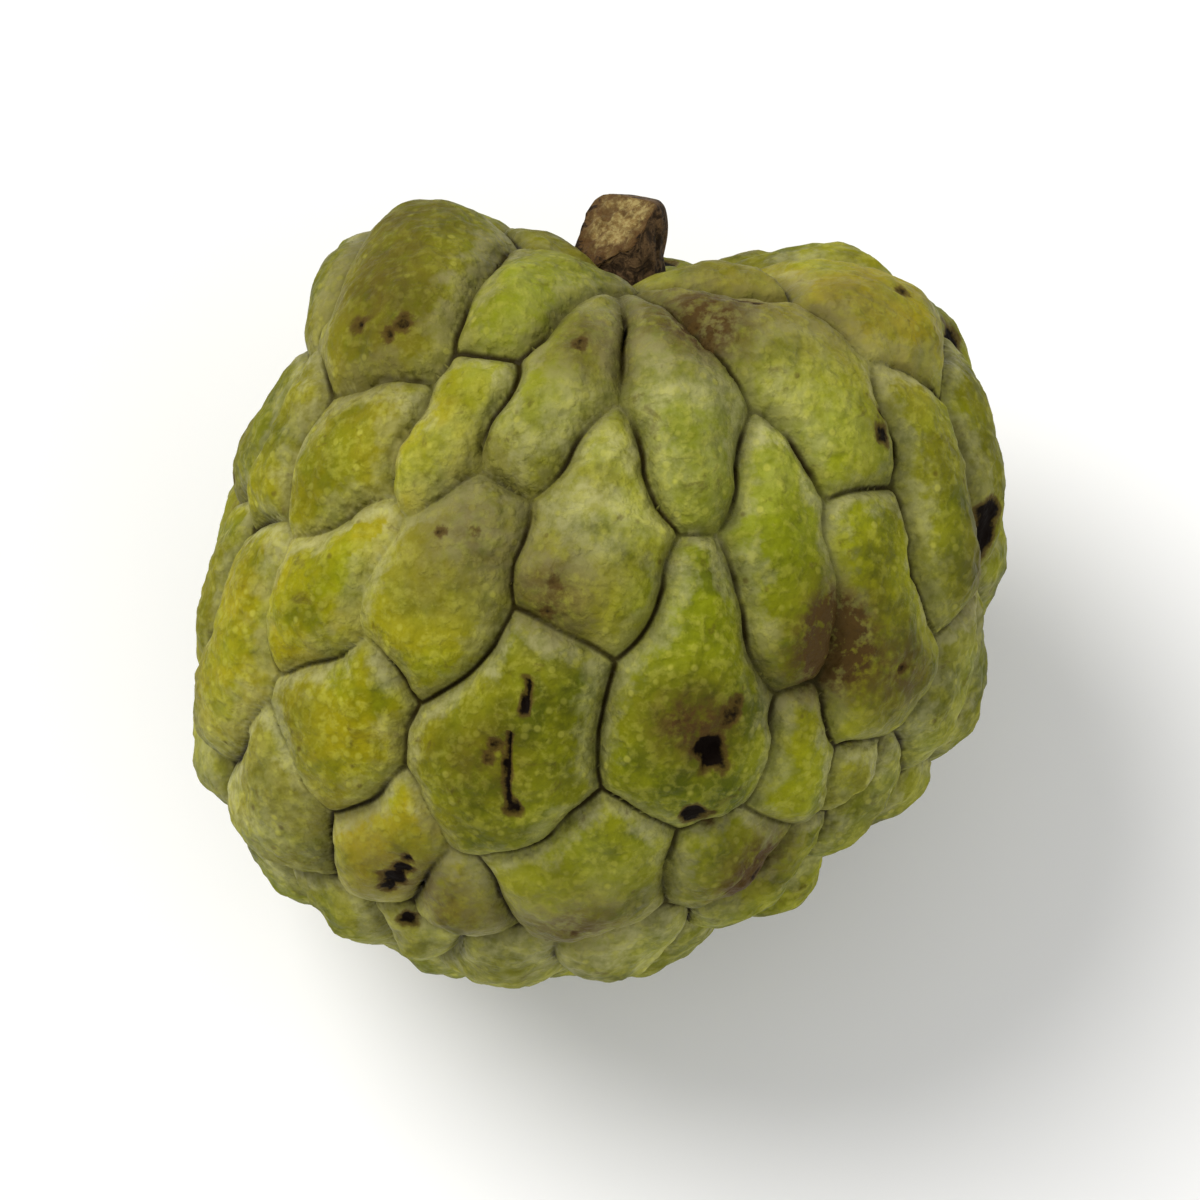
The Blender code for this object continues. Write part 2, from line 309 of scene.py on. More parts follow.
# Brown patches of russet: longitude, latitude, spread, strength.
RUSSET = (
    (38, 4, 6, 0.95),
    (38, 9, 4, 0.55),
    (52, 0, 5, 0.55),
    (-4, 11, 5, 0.60),
    (-18, 19, 6, 0.45),
    (18, -6, 4, 0.65),
    (13, -5, 4, 0.35),
    (-13, -14, 5, 0.40),
    (36, -34, 6, 0.90),
    (3, -45, 7, 0.60),
    (-4, 48, 6, 0.45),
    (20, 51, 5, 0.55),
    (24, 61, 8, 0.50),
    (-66, 60, 12, 0.40),
    (72, 14, 6, 0.50),
    (-31, -37, 6, 0.45),
    (-90, 26, 7, 0.50),
    (60, 52, 8, 0.35),
    (-22, -45, 5, 0.35),
    (-45, 45, 8, 0.30),
)

# Each carpel has its own tone and its own share of yellow.
OWN_COLOR_SEED = 13
OWN_YELLOW = 0.35
PATCH_YELLOW = 0.7

# Where the skin is yellower than elsewhere: longitude, latitude, spread, strength.
YELLOWER = (
    (-42, 0, 26, 0.8),
    (66, 46, 14, 0.9),
    (54, 56, 10, 1.0),
    (-45, 28, 14, 0.6),
    (-52, 50, 12, 0.7),
    (-32, -30, 14, 0.6),
    (-70, -5, 20, 0.7),
    (150, 0, 50, 0.5),
)

# Where it is a fresher green.
FRESHER = (
    (-19, 54, 7, 1.0),
    (-10, 38, 6, 0.6),
    (18, 37, 7, 0.7),
    (42, 38, 8, 0.6),
    (29, 20, 8, 0.7),
    (12, 12, 6, 0.5),
    (-38, 8, 7, 0.5),
    (1, -36, 8, 0.5),
    (-105, 10, 20, 0.5),
    (130, -30, 25, 0.5),
    (-150, 40, 20, 0.5),
)

# Where it has more grey bloom.
DUSTIER = (
    (-4, 22, 9, 1.0),
    (6, 46, 12, 0.7),
    (-18, 22, 8, 0.7),
    (30, 52, 14, 0.7),
    (-55, -32, 10, 0.6),
    (-74, -26, 8, 0.7),
    (10, -58, 16, 0.7),
    (-30, -47, 8, 0.8),
    (7, -50, 8, 0.9),
    (70, -10, 14, 0.5),
    (-160, 10, 40, 0.5),
)

# The white room: how much light it gives, and how bright it looks behind the fruit.
ROOM_LIGHT = 0.60
ROOM_SEEN = 1.0
FLOOR_SIZE = 6

# The camera: degrees above the table, metres away, lens and sensor in millimetres.
CAMERA_ELEVATION = 75
CAMERA_DISTANCE = 1.0
CAMERA_LENS = 310
CAMERA_SENSOR = 36


def unit(vectors):
    """The vectors at length 1."""
    return vectors / np.linalg.norm(vectors, axis=-1, keepdims=True)


def direction(longitude, latitude):
    """The unit vector to a place: longitude 0 is the front, 90 the right."""
    longitude = np.radians(longitude)
    latitude = np.radians(latitude)
    across = np.cos(latitude)
    return np.stack([np.sin(longitude) * across, -np.cos(longitude) * across, np.sin(latitude)], -1)


def angle_between(directions, place):
    """Degrees from each direction to one place."""
    return np.degrees(np.arccos(np.clip(directions @ place, -1, 1)))


def body_share(directions):
    """The smooth body under the carpels, as a share of the plain round one."""
    latitude = np.degrees(np.arcsin(np.clip(directions[:, 2], -1, 1)))
    from_shoulder = (latitude - SHOULDER_LATITUDE) / SHOULDER_SPREAD
    from_top = (90 - latitude) / DIMPLE_SPREAD
    share = BODY_SHARE + SHOULDER_SWELL * np.exp(-(from_shoulder**2))
    share -= STALK_DIMPLE * np.exp(-(from_top**2))
    return share + patches(directions, UNEVEN_PLACES)


def patches(directions, places):
    """The sum of soft round patches: longitude, latitude, spread, strength."""
    total = np.zeros(len(directions))
    for longitude, latitude, spread, strength in places:
        away = angle_between(directions, direction(longitude, latitude))
        total += strength * np.exp(-0.5 * (away / spread) ** 2)
    return total


def carpel_gaps(directions, carpels):
    """For each direction and carpel: how far outside the lobe it is, in radians, how far
    down the lobe, from 0 to 1, and the way straight out of the lobe."""
    rows = np.array(carpels, float)
    upper = direction(rows[:, 0], rows[:, 1])
    run = direction(rows[:, 3], rows[:, 4]) - upper
    upper_width = np.radians(rows[:, 2])
    widening = np.radians(rows[:, 5]) - upper_width
    down = ((directions[:, None, :] - upper) * run).sum(-1) / (run * run).sum(-1)
    down = np.clip(down, 0, 1)
    out = directions[:, None, :] - upper - run * down[..., None]
    away = np.linalg.norm(out, axis=-1)
    return away - upper_width - widening * down, down, out / away[..., None]


def spread_directions(count):
    """Evenly spread directions, along a spiral from pole to pole."""
    steps = np.arange(count) + 0.5
    height = 1 - 2 * steps / count
    turn = math.pi * (1 + math.sqrt(5)) * steps
    across = np.sqrt(1 - height**2)
    return np.stack([np.cos(turn) * across, np.sin(turn) * across, height], -1)


def hidden_carpel(place):
    """A carpel of the back, centred on this place."""
    latitude = math.degrees(math.asin(place[2]))
    longitude = math.degrees(math.atan2(place[0], -place[1]))
    widening = math.cos(math.radians(latitude)) ** 2
    width = HIDDEN_NARROWEST + (HIDDEN_WIDEST - HIDDEN_NARROWEST) * widening
    reach = width * HIDDEN_LENGTH / 2
    upper = min(latitude + reach, HIDDEN_LAST_LATITUDE)
    lower = max(latitude - reach, -HIDDEN_LAST_LATITUDE)
    return (longitude, upper, width * HIDDEN_TAPER, longitude, lower, width)


def all_carpels():
    """The carpels of the front, and of the back, each put where the most room is left."""
    carpels = list(FRONT_CARPELS)
    places = spread_directions(HIDDEN_STEPS)
    room = carpel_gaps(places, carpels)[0].min(axis=1)
    while room.max() > math.radians(HIDDEN_ROOM):
        added = hidden_carpel(places[room.argmax()])
        carpels.append(added)
        room = np.minimum(room, carpel_gaps(places, [added])[0][:, 0])
    return carpels


def field(points, wavelength, seed):
    """A smooth random field with a spread of 1: a sum of plane waves of about one length."""
    source = np.random.default_rng(seed)
    headings = unit(source.normal(size=(FIELD_WAVES, 3)))
    lengths = wavelength * source.uniform(0.7, 1.5, FIELD_WAVES)
    phases = source.uniform(0, 2 * math.pi, FIELD_WAVES)
    total = np.zeros(len(points))
    for heading, length, phase in zip(headings, lengths, phases):
        total += np.sin(points @ heading * (2 * math.pi / length) + phase)
    return total * math.sqrt(2 / FIELD_WAVES)


def seams(directions, carpels):
    """For each direction: its carpel, its distance from the seam, the same with corners
    eased, how far down the carpel it is, and the ways away from the seam and from the
    carpel's spine."""
    parts = []
    for start in range(0, len(directions), CHUNK):
        part = directions[start : start + CHUNK]
        gaps, down, out = carpel_gaps(part, carpels)
        picked = np.arange(len(part))
        own = gaps.argmin(axis=1)
        own_gap = gaps[picked, own]
        others = gaps.copy()
        others[picked, own] = np.inf
        other = others.argmin(axis=1)
        ease = CORNER_EASE / BODY_RADIUS
        eased = -ease * np.log(np.exp((own_gap[:, None] - others) / ease).sum(axis=1))
        outward = out[picked, own]
        slope = (out[picked, other] - outward) / 2
        steepness = np.maximum(np.linalg.norm(slope, axis=1), LEAST_STEEPNESS)
        found = {
            "own": own,
            "distance": (gaps[picked, other] - own_gap) / 2 / steepness * BODY_RADIUS,
            "eased": np.clip(eased, 0, None) / 2 * BODY_RADIUS,
            "down": down[picked, own],
            "inward": slope / steepness[:, None],
            "outward": outward,
        }
        parts.append(found)
    return {name: np.concatenate([part[name] for part in parts]) for name in parts[0]}


def wandered(directions):
    """The same directions, moved a little and smoothly, so that seams aren't ruled lines."""
    places = directions * BODY_RADIUS
    moves = [field(places, SEAM_WANDER_LENGTH, seed) for seed in SEAM_WANDER_SEEDS]
    return unit(directions + np.stack(moves, -1) * SEAM_WANDER / BODY_RADIUS)


def snapped(directions, carpels):
    """Points beside a seam are slid onto it, so that it runs as a clean line."""
    found = seams(wandered(directions), carpels)
    near = found["distance"] < SEAM_SNAP
    step = found["inward"] * found["distance"][:, None] / BODY_RADIUS
    return np.where(near[:, None], unit(directions - step), directions)


def spot_mask(directions, spot_direction, radius, wobble):
    """1 in the middle of a ragged round spot, 0.5 at its radius, 0 outside."""
    away = np.linalg.norm(directions - spot_direction, axis=-1) * BODY_RADIUS
    share = away / (radius * (1 + SPOT_WOBBLE * wobble))
    return 1 / (1 + np.clip(share, 0, 4) ** 5)


def crack_mask(directions, start, end, half_width, wobble):
    """1 along the middle of a ragged straight crack, 0.5 at its edges, 0 outside."""
    run = end - start
    along = np.clip((directions - start) @ run / (run @ run), 0, 1)
    away = np.linalg.norm(directions - start - along[:, None] * run, axis=-1) * BODY_RADIUS
    share = away / (half_width * (1 + CRACK_WOBBLE * wobble))
    return 1 / (1 + np.clip(share, 0, 4) ** 4)


def scattered_place(source, lowest, highest):
    """The longitude and latitude of a place drawn evenly from the unlisted side."""
    longitude = source.uniform(UNLISTED_FROM, UNLISTED_TO)
    latitude = math.degrees(math.asin(source.uniform(lowest, highest)))
    return longitude, latitude


def scattered_scabs():
    source = np.random.default_rng(SCAB_SEED)
    scabs = []
    for _ in range(SCATTERED_SCABS):
        longitude, latitude = scattered_place(source, -0.95, 0.93)
        size = source.uniform(0.4, 1.0) ** 2
        radius = LARGEST_SCATTERED_SCAB * size
        depth = DEEPEST_SCATTERED_SCAB * size
        scabs.append((longitude, latitude, radius, depth, 0.55 + 0.45 * size))
    return tuple(scabs)


def scattered_russet():
    source = np.random.default_rng(RUSSET_SEED)
    russet = []
    for _ in range(SCATTERED_RUSSET):
        longitude, latitude = scattered_place(source, -0.9, 0.9)
        spread = source.uniform(3, 8)
        strength = source.uniform(0.2, 0.6)
        russet.append((longitude, latitude, spread, strength))
    return tuple(russet)


def carpel_height(found, carpels):
    """How much taller or lower than the rest each point's own carpel is."""
    variation = np.random.default_rng(HEIGHT_SEED).uniform(-1, 1, len(carpels))
    variation *= HEIGHT_VARIATION
    return (1 + variation[found["own"]]) * (UPPER_END_HEIGHT + LOWER_END_RISE * found["down"])


def rounded(found):
    """The carpels' profile, 0 in the groove and 1 on top."""
    return 1 - (1 - np.clip(found["eased"] / CARPEL_SHOULDER, 0, 1)) ** CARPEL_ROUNDNESS


def damage(directions):
    """How deep the skin is pitted, and how dark it is there."""
    wobble = field(directions * BODY_RADIUS, WOBBLE_LENGTH, WOBBLE_SEED)
    depth = np.zeros(len(directions))
    darkness = np.zeros(len(directions))
    for longitude, latitude, radius, pit, dark in SCABS + scattered_scabs():
        mask = spot_mask(directions, direction(longitude, latitude), radius, wobble)
        depth += pit * mask
        darkness = np.maximum(darkness, mask * dark)
    for half_width, line in CRACKS:
        places = [direction(longitude, latitude) for longitude, latitude in line]
        for start, end in zip(places, places[1:]):
            mask = crack_mask(directions, start, end, half_width, wobble)
            depth = np.maximum(depth, CRACK_DEPTH * mask)
            darkness = np.maximum(darkness, mask * CRACK_DARKNESS)
    return depth, darkness


def fruit_skin(directions, carpels):
    """The skin's points in the upright frame, and the values that its material reads."""
    directions = snapped(directions, carpels)
    places = directions * BODY_RADIUS
    found = seams(wandered(directions), carpels)
    seam = np.clip(found["distance"], 0, None)
    stray = field(places, STRAY_JOIN_LENGTH, STRAY_JOIN_SEED) - STRAY_JOIN_START
    joined = patches(directions, GROWN_TOGETHER) + STRAY_JOINS * np.clip(stray, 0, 1)
    joined = np.clip(joined, 0, 1)
    dome = rounded(found)
    dome = dome + (1 - dome) * JOINED_FILL * joined
    height = CARPEL_RELIEF * (dome * carpel_height(found, carpels) - 1)
    height -= SEAM_CUT * (1 - joined) * np.exp(-seam / SEAM_CUT_WIDTH)
    for wavelength, swell, seed in SKIN_SWELLS:
        height += swell * field(places, wavelength, seed)
    depth, darkness = damage(directions)
    height -= depth

    size = np.array([BODY_RADIUS, BODY_RADIUS, BODY_HALF_LENGTH])
    body = directions * body_share(directions)[:, None] * size
    own_tone, own_yellow = np.random.default_rng(OWN_COLOR_SEED).uniform(0, 1, (2, len(carpels)))
    yellow = patches(directions, YELLOWER) * PATCH_YELLOW + OWN_YELLOW * own_yellow[found["own"]]
    values = {
        "seam_millimetres": seam * 1000,
        "open_seam": 1 - joined,
        "tone": own_tone[found["own"]],
        # how far each carpel faces the fruit's top, which is its lit side: the material paints
        # light there
        "upper_lit_side": found["outward"] @ TOP,
        "yellow": np.clip(yellow, 0, 1),
        "fresh": np.clip(patches(directions, FRESHER), 0, 1),
        "dust": np.clip(patches(directions, DUSTIER), 0, 1),
        "scab": darkness,
        "russet": np.clip(patches(directions, RUSSET + scattered_russet()), 0, 1),
        "crown": np.exp(-((angle_between(directions, TOP) / CROWN_SPREAD) ** 2)),
    }
    return body + directions * height[:, None], values


def cube_sphere(name, divisions):
    """A unit sphere of even squares, and an image map with one square for each cube side,
    three in a row and two rows."""
    cube = bmesh.new()
    bmesh.ops.create_cube(cube, size=2)
    bmesh.ops.subdivide_edges(cube, edges=cube.edges[:], cuts=divisions - 1, use_grid_fill=True)
    image_map = cube.loops.layers.uv.new("OFBake")
    for face in cube.faces:
        normal = face.normal
        axis = max(range(3), key=lambda number: abs(normal[number]))
        across, up = [number for number in range(3) if number != axis]
        side = axis + (3 if normal[axis] > 0 else 0)
        for loop in face.loops:
            spot = loop.vert.co
            u = (spot[across] * MAP_HALF_SIDE + 0.5 + side % 3) / 3
            v = (spot[up] * MAP_HALF_SIDE + 0.5 + side // 3) / 2
            loop[image_map].uv = (u, v)
    for vertex in cube.verts:
        vertex.co = [math.tan(value * math.pi / 4) for value in vertex.co]
        vertex.co.normalize()
    mesh = bpy.data.meshes.new(name)
    cube.to_mesh(mesh)
    cube.free()
    return mesh


def mesh_points(mesh):
    """The mesh's points, one row each."""
    points = np.empty(len(mesh.vertices) * 3, np.float32)
    mesh.vertices.foreach_get("co", points)
    return points.reshape(-1, 3).astype(float)


def finish_mesh(mesh, points, values):
    """The mesh as an object, with its points moved and a layer for each named value."""
    mesh.vertices.foreach_set("co", points.astype(np.float32).ravel())
    for name, numbers in values.items():
        layer = mesh.attributes.new(name, "FLOAT", "POINT")
        layer.data.foreach_set("value", np.asarray(numbers, np.float32))
    mesh.update()
    mesh.shade_smooth()
    piece = bpy.data.objects.new(mesh.name, mesh)
    bpy.context.scene.collection.objects.link(piece)
    return piece


def lay_down(points):
    """Turns points from the upright frame to the lying one."""
    turn = Euler((math.radians(-LEAN), 0, math.radians(-SWING)))
    return points @ np.array(turn.to_matrix()).T


def make_skin(carpels):
    """The fruit's skin, put where the CAD fruit is, and flat where it rests."""
    mesh = cube_sphere("fruit_skin", SKIN_DIVISIONS)
    points, values = fruit_skin(unit(mesh_points(mesh)), carpels)
    points = lay_down(points)
    low, high = (np.array(corner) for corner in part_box("fruit"))
    middle = (points.min(axis=0) + points.max(axis=0)) / 2
    move = (low + high) / 2 - middle
    move[2] = high[2] - points[:, 2].max()
    points += move
    points[:, 2] = np.maximum(points[:, 2], low[2])
    return finish_mesh(mesh, points, values), move


def make_stalk(carpels, move):
    """The cut stalk: ridged bark, and a slanting cut that shows the wood."""
    mesh = cube_sphere("stalk_cut", STALK_DIVISIONS)
    ball = mesh_points(mesh)
    seat = stalk_seat(carpels)
    root = seat - SOCKET_DEPTH + STALK_ROOT_ROOM
    end = seat + STALK_STANDING

    across = np.hypot(ball[:, 0], ball[:, 1])
    length = across**STALK_SQUARENESS + np.abs(ball[:, 2]) ** STALK_SQUARENESS
    spots = ball * (length ** (-1 / STALK_SQUARENESS))[:, None]
    height = (spots[:, 2] + 1) / 2
    flare = np.exp(-height / STALK_FLARE_REACH) * (STALK_ROOT_DIAMETER - STALK_DIAMETER) / 2
    around = np.arctan2(spots[:, 1], spots[:, 0])
    girth = STALK_DIAMETER / 2
    bark_spots = [np.cos(around) * girth, np.sin(around) * girth, height * BARK_RIDGE_STRETCH]
    bark_spots = np.stack(bark_spots, -1)
    radius = girth - BARK_ROOM + flare
    for wavelength, ridge, seed in BARK_RIDGES:
        radius += ridge * field(bark_spots, wavelength, seed)
    up = root + height * (end - root)
    points = np.stack([spots[:, 0] * radius, spots[:, 1] * radius, up], -1)

    facing = direction(STALK_CUT_FACES, 90 - STALK_CUT_SLOPE)
    sideways = direction(STALK_CUT_FACES, 0)
    start = np.array([0, 0, end]) - sideways * STALK_CUT_PAST_AXIS
    over = (points - start) @ facing
    cut = over > 0
    splinters = SPLINTER_HEIGHT * field(points * SPLINTER_STRETCH, SPLINTER_LENGTH, SPLINTER_SEED)
    splinters *= np.clip(over / SPLINTER_FREE_EDGE, 0, 1)
    points[cut, 2] += ((splinters - over) / facing[2])[cut]
    core = np.hypot(points[:, 0], points[:, 1]) / girth
    values = {"cut": cut.astype(float), "core": core}
    return finish_mesh(mesh, lay_down(points) + move, values)


def stalk_seat(carpels):
    """How high the CAD skin is at the stalk, on the fruit's axis."""
    axis = TOP[None, :]
    found = seams(axis, carpels)
    relief = CARPEL_RELIEF * (rounded(found) * carpel_height(found, carpels) - 1)
    return float((body_share(axis) * BODY_HALF_LENGTH + relief)[0])


def srgb(red, green, blue):
    """A shader colour from the usual 0 to 255 values."""
    return tuple((value / 255) ** 2.2 for value in (red, green, blue)) + (1.0,)


class Graph:
    """Short ways to add nodes to a material. Sizes of patterns are in metres."""

    def __init__(self, name):
        self.material = bpy.data.materials.new(name)
        self.material.use_nodes = True
        self.tree = self.material.node_tree
        self.shader = self.tree.nodes["Principled BSDF"]
        self.place = self.tree.nodes.new("ShaderNodeTexCoord").outputs["Object"]

    def wire(self, value, socket):
        """Joins another node's output to a socket, or sets the socket to a plain value."""
        if isinstance(value, bpy.types.NodeSocket):
            self.tree.links.new(value, socket)
        else:
            socket.default_value = value

    def value(self, name):
        """One of the values stored on the mesh."""
        node = self.tree.nodes.new("ShaderNodeAttribute")
        node.attribute_name = name
        return node.outputs["Fac"]

    def noise(self, size, detail=3.0, roughness=0.5, distortion=0.0):
        node = self.tree.nodes.new("ShaderNodeTexNoise")
        self.wire(self.place, node.inputs["Vector"])
        node.inputs["Scale"].default_value = 1 / size
        node.inputs["Detail"].default_value = detail
        node.inputs["Roughness"].default_value = roughness
        node.inputs["Distortion"].default_value = distortion
        return node.outputs["Fac"]

    def specks(self, spacing, core, edge, share):
        """Round specks on a share of the cells of a scattered pattern, 1 inside the core."""
        node = self.tree.nodes.new("ShaderNodeTexVoronoi")
        self.wire(self.place, node.inputs["Vector"])
        node.inputs["Scale"].default_value = 1 / spacing
        draw = self.tree.nodes.new("ShaderNodeSeparateColor")
        self.wire(node.outputs["Color"], draw.inputs["Color"])
        chosen = self.ramp(draw.outputs[0], share, share + 0.1, 1.0, 0.0)
        return self.times(self.ramp(node.outputs["Distance"], core, edge, 1.0, 0.0), chosen)

    def math(self, operation, first, second=0.0, clamp=False):
        node = self.tree.nodes.new("ShaderNodeMath")
        node.operation = operation
        node.use_clamp = clamp
        self.wire(first, node.inputs[0])
        self.wire(second, node.inputs[1])
        return node.outputs[0]

    def plus(self, first, second):
        return self.math("ADD", first, second)

    def times(self, first, second):
        return self.math("MULTIPLY", first, second)

    def most(self, *values):
        """The largest of these values."""
        largest = values[0]
        for value in values[1:]:
            largest = self.math("MAXIMUM", largest, value)
        return largest

    def ramp(self, value, low, high, start=0.0, end=1.0):
        """start where value is low, end where it is high, and a smooth step between."""
        node = self.tree.nodes.new("ShaderNodeMapRange")
        node.interpolation_type = "SMOOTHSTEP"
        self.wire(value, node.inputs["Value"])
        node.inputs["From Min"].default_value = low
        node.inputs["From Max"].default_value = high
        node.inputs["To Min"].default_value = start
        node.inputs["To Max"].default_value = end
        return node.outputs["Result"]

    def mix(self, share, first, second, blend="MIX"):
        """first where share is 0 and second where it is 1."""
        node = self.tree.nodes.new("ShaderNodeMix")
        node.data_type = "RGBA"
        node.blend_type = blend
        self.wire(share, node.inputs[0])
        self.wire(first, node.inputs[6])
        self.wire(second, node.inputs[7])
        return node.outputs[2]

    def bump(self, height, strength, distance):
        """Fine relief in the shading, under what the mesh carries."""
        node = self.tree.nodes.new("ShaderNodeBump")
        node.inputs["Strength"].default_value = strength
        node.inputs["Distance"].default_value = distance
        self.wire(height, node.inputs["Height"])
        self.wire(node.outputs["Normal"], self.shader.inputs["Normal"])


def skin_material():
    """Olive skin, mottled yellow and green, with grey-bloomed rims that are lighter on each
    carpel's upper, lit side as painted light, pale specks, brown russet, black scabs, and dark
    seams with painted shade on their walls."""
    g = Graph("fruit_skin")
    deep = srgb(72, 82, 8)
    green = srgb(108, 115, 12)
    bright = srgb(140, 143, 22)
    yellow = srgb(152, 138, 14)
    fresh = srgb(128, 137, 8)
    bloom_and_lit_side = srgb(160, 157, 106)
    pale = srgb(170, 167, 70)
    brown = srgb(74, 57, 28)
    # the seams' own dark colour, also used as painted shade on the seam walls
    seam_line_and_shade = srgb(44, 38, 10)
    scab_black = srgb(20, 13, 6)

    seam = g.value("seam_millimetres")
    open_seam = g.value("open_seam")
    large = g.noise(0.0085, 3)
    middle = g.noise(0.0034, 4, 0.62)
    small = g.noise(0.0012, 4, 0.62)

    # the skin's own green and yellow
    color = g.mix(g.ramp(large, 0.34, 0.60), deep, green)
    color = g.mix(g.ramp(middle, 0.42, 0.62, 0.0, 0.85), color, bright)
    warm = g.times(g.value("yellow"), g.ramp(g.noise(0.0058, 3, 0.6), 0.3, 0.62, 0.25, 1.0))
    color = g.mix(warm, color, yellow)
    color = g.mix(g.ramp(g.value("tone"), 0.0, 1.0, 0.0, 0.50), color, deep)
    fresh_share = g.times(g.value("fresh"), g.ramp(middle, 0.35, 0.6, 0.45, 1.0))
    color = g.mix(fresh_share, color, fresh)

    # grey bloom, on the rims and in patches; on the rims it is stronger on each carpel's upper, lit
    # side, which is painted light
    ragged = g.plus(seam, g.ramp(middle, 0.3, 0.7, -1.5, 1.2))
    # the upper side of each carpel faces the light, so the extra lightening there is painted light,
    # not bloom
    upper = g.ramp(g.value("upper_lit_side"), -0.7, 0.8, 0.45, 1.0)
    rim = g.times(g.ramp(ragged, 0.7, 3.0, 1.0, 0.0), upper)
    patchy = g.times(g.value("dust"), g.ramp(g.noise(0.0042, 4, 0.65), 0.36, 0.62, 0.25, 1.0))
    dust = g.times(g.most(rim, patchy), g.ramp(small, 0.3, 0.60, 0.55, 1.0))
    color = g.mix(g.times(dust, 0.80), color, bloom_and_lit_side)

    # pale specks and dots, and light and dark clouds
    clouds = g.ramp(g.noise(0.0011, 3, 0.55), 0.46, 0.66, 0.0, 0.30)
    specks = g.specks(0.0012, 0.20, 0.42, 0.35)
    dots = g.specks(0.0021, 0.10, 0.24, 0.45)
    light = g.most(clouds, g.times(specks, 0.34), g.times(dots, 0.55))
    color = g.mix(light, color, pale)
    fine_shade = g.ramp(small, 0.32, 0.66, 0.88, 1.07)
    shade = g.times(fine_shade, g.ramp(large, 0.35, 0.65, 0.80, 1.12))
    color = g.mix(1.0, color, shade, "MULTIPLY")

    # brown: stains, freckles, russet and the collar
    stain = g.ramp(g.noise(0.0030, 4, 0.68, 0.6), 0.58, 0.74, 0.0, 0.50)
    freckles = g.times(g.specks(0.0026, 0.05, 0.17, 0.30), 0.55)
    uneven = g.ramp(small, 0.30, 0.62, 0.55, 1.45)
    russet = g.math("MULTIPLY", g.value("russet"), uneven, clamp=True)
    uneven = g.ramp(middle, 0.3, 0.6, 0.45, 1.1)
    collar = g.math("MULTIPLY", g.value("crown"), uneven, clamp=True)
    color = g.mix(g.most(stain, freckles, russet, collar), color, brown)

    # dark seam lines, and painted shade on the walls of open seams
    painted_wall_shade = g.times(g.ramp(seam, 0.3, 1.6, 0.42, 0.0), open_seam)
    line = g.times(g.ramp(seam, 0.10, 0.60, 1.0, 0.0), g.ramp(open_seam, 0.1, 0.75, 0.25, 1.0))
    line = g.times(line, g.ramp(g.noise(0.009, 2), 0.34, 0.54, 0.50, 1.0))
    color = g.mix(g.most(painted_wall_shade, line), color, seam_line_and_shade)

    # black scabs with brown edges
    scab = g.value("scab")
    uneven = g.times(g.ramp(small, 0.3, 0.7, -0.16, 0.16), g.ramp(scab, 0.02, 0.3))
    scab = g.plus(scab, uneven)
    color = g.mix(g.ramp(scab, 0.08, 0.45, 0.0, 0.85), color, brown)
    color = g.mix(g.ramp(scab, 0.45, 0.80), color, scab_black)

    g.wire(color, g.shader.inputs["Base Color"])
    rough = g.plus(g.ramp(middle, 0.3, 0.7, 0.48, 0.66), g.ramp(scab, 0.1, 0.8, 0.0, 0.25))
    g.wire(rough, g.shader.inputs["Roughness"])
    g.shader.inputs["Specular IOR Level"].default_value = 0.07
    pimples = g.specks(0.0013, 0.05, 0.60, 0.75)
    grain = g.plus(g.times(light, 0.5), g.times(pimples, 0.5))
    grain = g.plus(grain, g.noise(0.0011, 2, 0.45))
    grain = g.plus(grain, g.times(g.noise(0.0021, 2, 0.5), 1.2))
    g.bump(grain, 0.8, 0.00034)
    return g.material


def stalk_material():
    """Dark furrowed bark, and rough tan wood on the cut, which is browner at its rim."""
    g = Graph("stalk_bark")
    dark_bark = srgb(46, 34, 20)
    bark = srgb(112, 88, 60)
    wood = srgb(132, 108, 62)
    pale_wood = srgb(166, 148, 94)
    brown_wood = srgb(88, 64, 36)
    grain = g.noise(0.0012, 5, 0.7, 0.8)
    patch = g.noise(0.0024, 4, 0.65)
    fibre = g.noise(0.00055, 4, 0.7, 0.4)

    bark_color = g.mix(g.ramp(grain, 0.38, 0.68), dark_bark, bark)
    lichen = g.ramp(g.noise(0.0016, 4, 0.7), 0.60, 0.72, 0.0, 0.45)
    bark_color = g.mix(lichen, bark_color, wood)

    wood_color = g.mix(g.ramp(fibre, 0.40, 0.62), wood, pale_wood)
    wood_color = g.mix(g.ramp(patch, 0.44, 0.60, 0.0, 0.85), wood_color, brown_wood)
    wood_color = g.mix(g.ramp(grain, 0.50, 0.66, 0.0, 0.75), wood_color, brown_wood)
    rim = g.plus(g.value("core"), g.ramp(grain, 0.3, 0.7, -0.16, 0.16))
    wood_color = g.mix(g.ramp(rim, 0.45, 0.85, 0.0, 0.9), wood_color, brown_wood)
    wood_color = g.mix(g.ramp(rim, 0.90, 1.02), wood_color, dark_bark)

    color = g.mix(g.ramp(g.value("cut"), 0.3, 0.7), bark_color, wood_color)
    g.wire(color, g.shader.inputs["Base Color"])
    g.wire(g.ramp(patch, 0.3, 0.7, 0.74, 0.92), g.shader.inputs["Roughness"])
    g.shader.inputs["Specular IOR Level"].default_value = 0.2
    g.bump(g.plus(grain, g.times(fibre, 0.6)), 1.0, 0.0005)
    return g.material


def make_floor():
    bpy.ops.mesh.primitive_plane_add(size=FLOOR_SIZE)
    floor = bpy.context.object
    floor.name = "floor"
    material = bpy.data.materials.new("floor")
    material.use_nodes = True
    shader = material.node_tree.nodes["Principled BSDF"]
    shader.inputs["Base Color"].default_value = (0.92, 0.92, 0.92, 1)
    shader.inputs["Roughness"].default_value = 0.9
    shader.inputs["Specular IOR Level"].default_value = 0.1
    floor.data.materials.append(material)


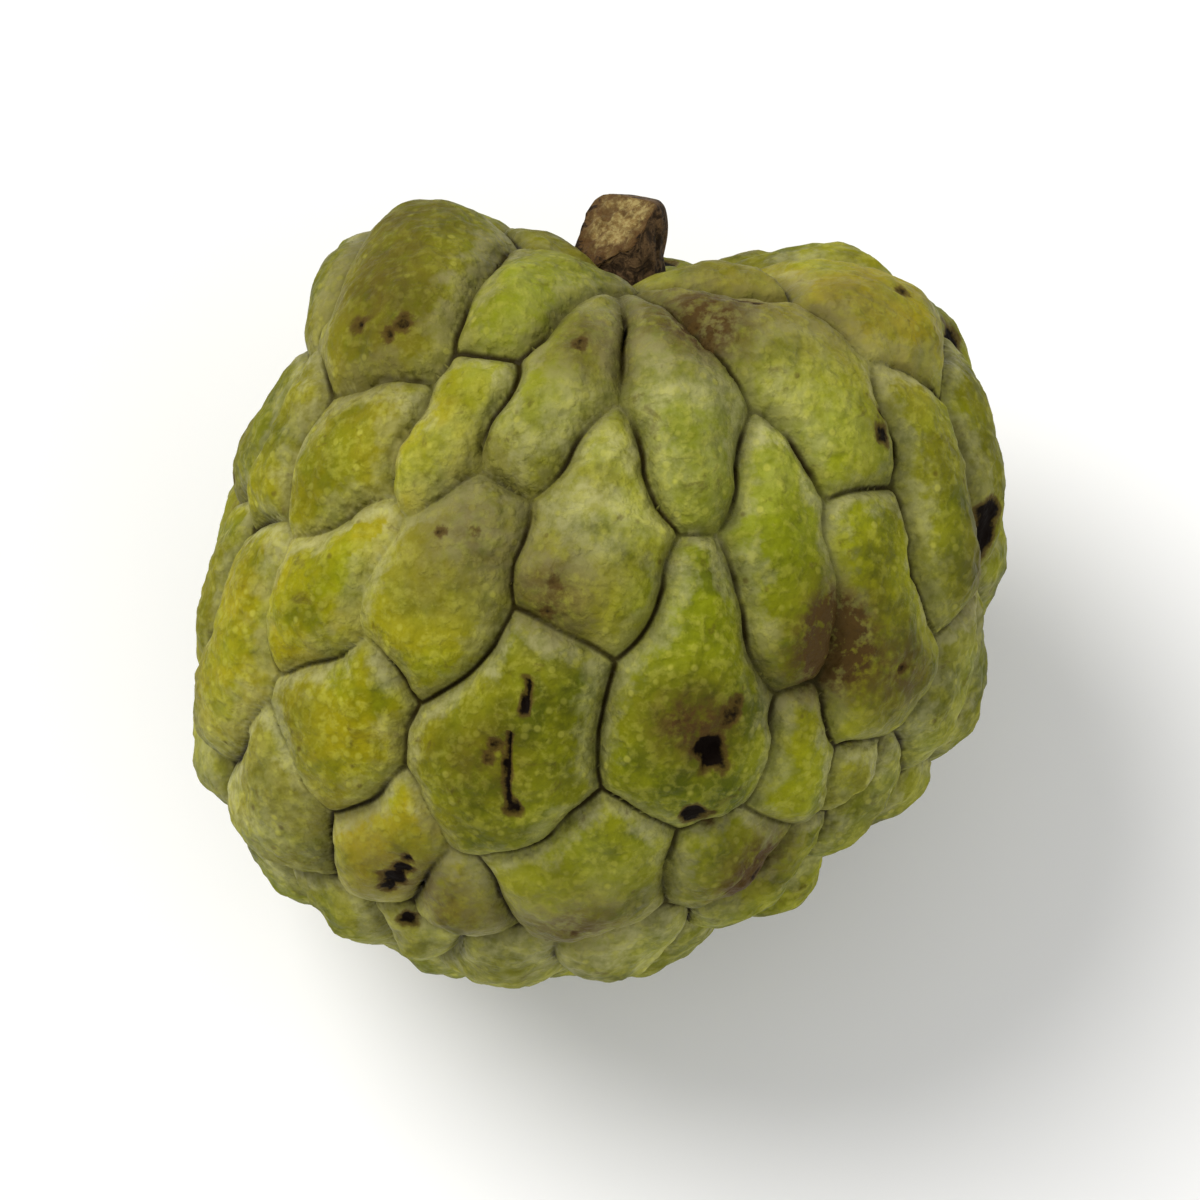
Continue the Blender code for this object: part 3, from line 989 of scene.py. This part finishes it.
def soft_sun(name, from_place, spread, power, color):
    """A wide soft light that falls evenly over the whole floor."""
    light = bpy.data.lights.new(name, "SUN")
    light.angle = math.radians(spread)
    light.energy = power
    light.color = color
    lamp = bpy.data.objects.new(name, light)
    lamp.location = from_place
    lamp.rotation_euler = Vector(from_place).to_track_quat("Z", "Y").to_euler()
    bpy.context.scene.collection.objects.link(lamp)


def light_scene():
    """Soft light from the upper left, in a white room."""
    world = bpy.data.worlds.new("studio")
    world.use_nodes = True
    tree = world.node_tree
    background = tree.nodes["Background"]
    background.inputs["Color"].default_value = (1, 1, 1, 1)
    path = tree.nodes.new("ShaderNodeLightPath")
    strength = tree.nodes.new("ShaderNodeMapRange")
    strength.inputs["To Min"].default_value = ROOM_LIGHT
    strength.inputs["To Max"].default_value = ROOM_SEEN
    tree.links.new(path.outputs["Is Camera Ray"], strength.inputs["Value"])
    tree.links.new(strength.outputs["Result"], background.inputs["Strength"])
    bpy.context.scene.world = world
    soft_sun("key", (-0.50, 0.35, 0.80), 35, 2.3, (1.0, 0.985, 0.95))
    soft_sun("fill", (0.60, -0.50, 0.70), 60, 0.4, (0.97, 0.98, 1.0))


def add_camera(target):
    """Looks down on the fruit through a long lens."""
    camera = bpy.data.cameras.new("camera")
    camera.lens = CAMERA_LENS
    camera.sensor_width = CAMERA_SENSOR
    view = bpy.data.objects.new("camera", camera)
    elevation = math.radians(CAMERA_ELEVATION)
    away = Vector((0, -math.cos(elevation), math.sin(elevation)))
    view.location = Vector(target) + away * CAMERA_DISTANCE
    view.rotation_euler = (-away).to_track_quat("-Z", "Y").to_euler()
    bpy.context.scene.collection.objects.link(view)
    bpy.context.scene.camera = view


def main():
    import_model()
    cad_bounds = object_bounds()
    low, high = cad_bounds
    target = tuple((np.array(low) + np.array(high)) / 2)

    carpels = all_carpels()
    skin, move = make_skin(carpels)
    skin.data.materials.append(skin_material())
    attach(skin, "root")
    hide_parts("fruit")

    stalk = make_stalk(carpels, move)
    stalk.data.materials.append(stalk_material())
    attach(stalk, "root")
    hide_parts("stalk")

    make_floor()
    light_scene()
    add_camera(target)
    bpy.context.scene.view_settings.view_transform = "Standard"


main()
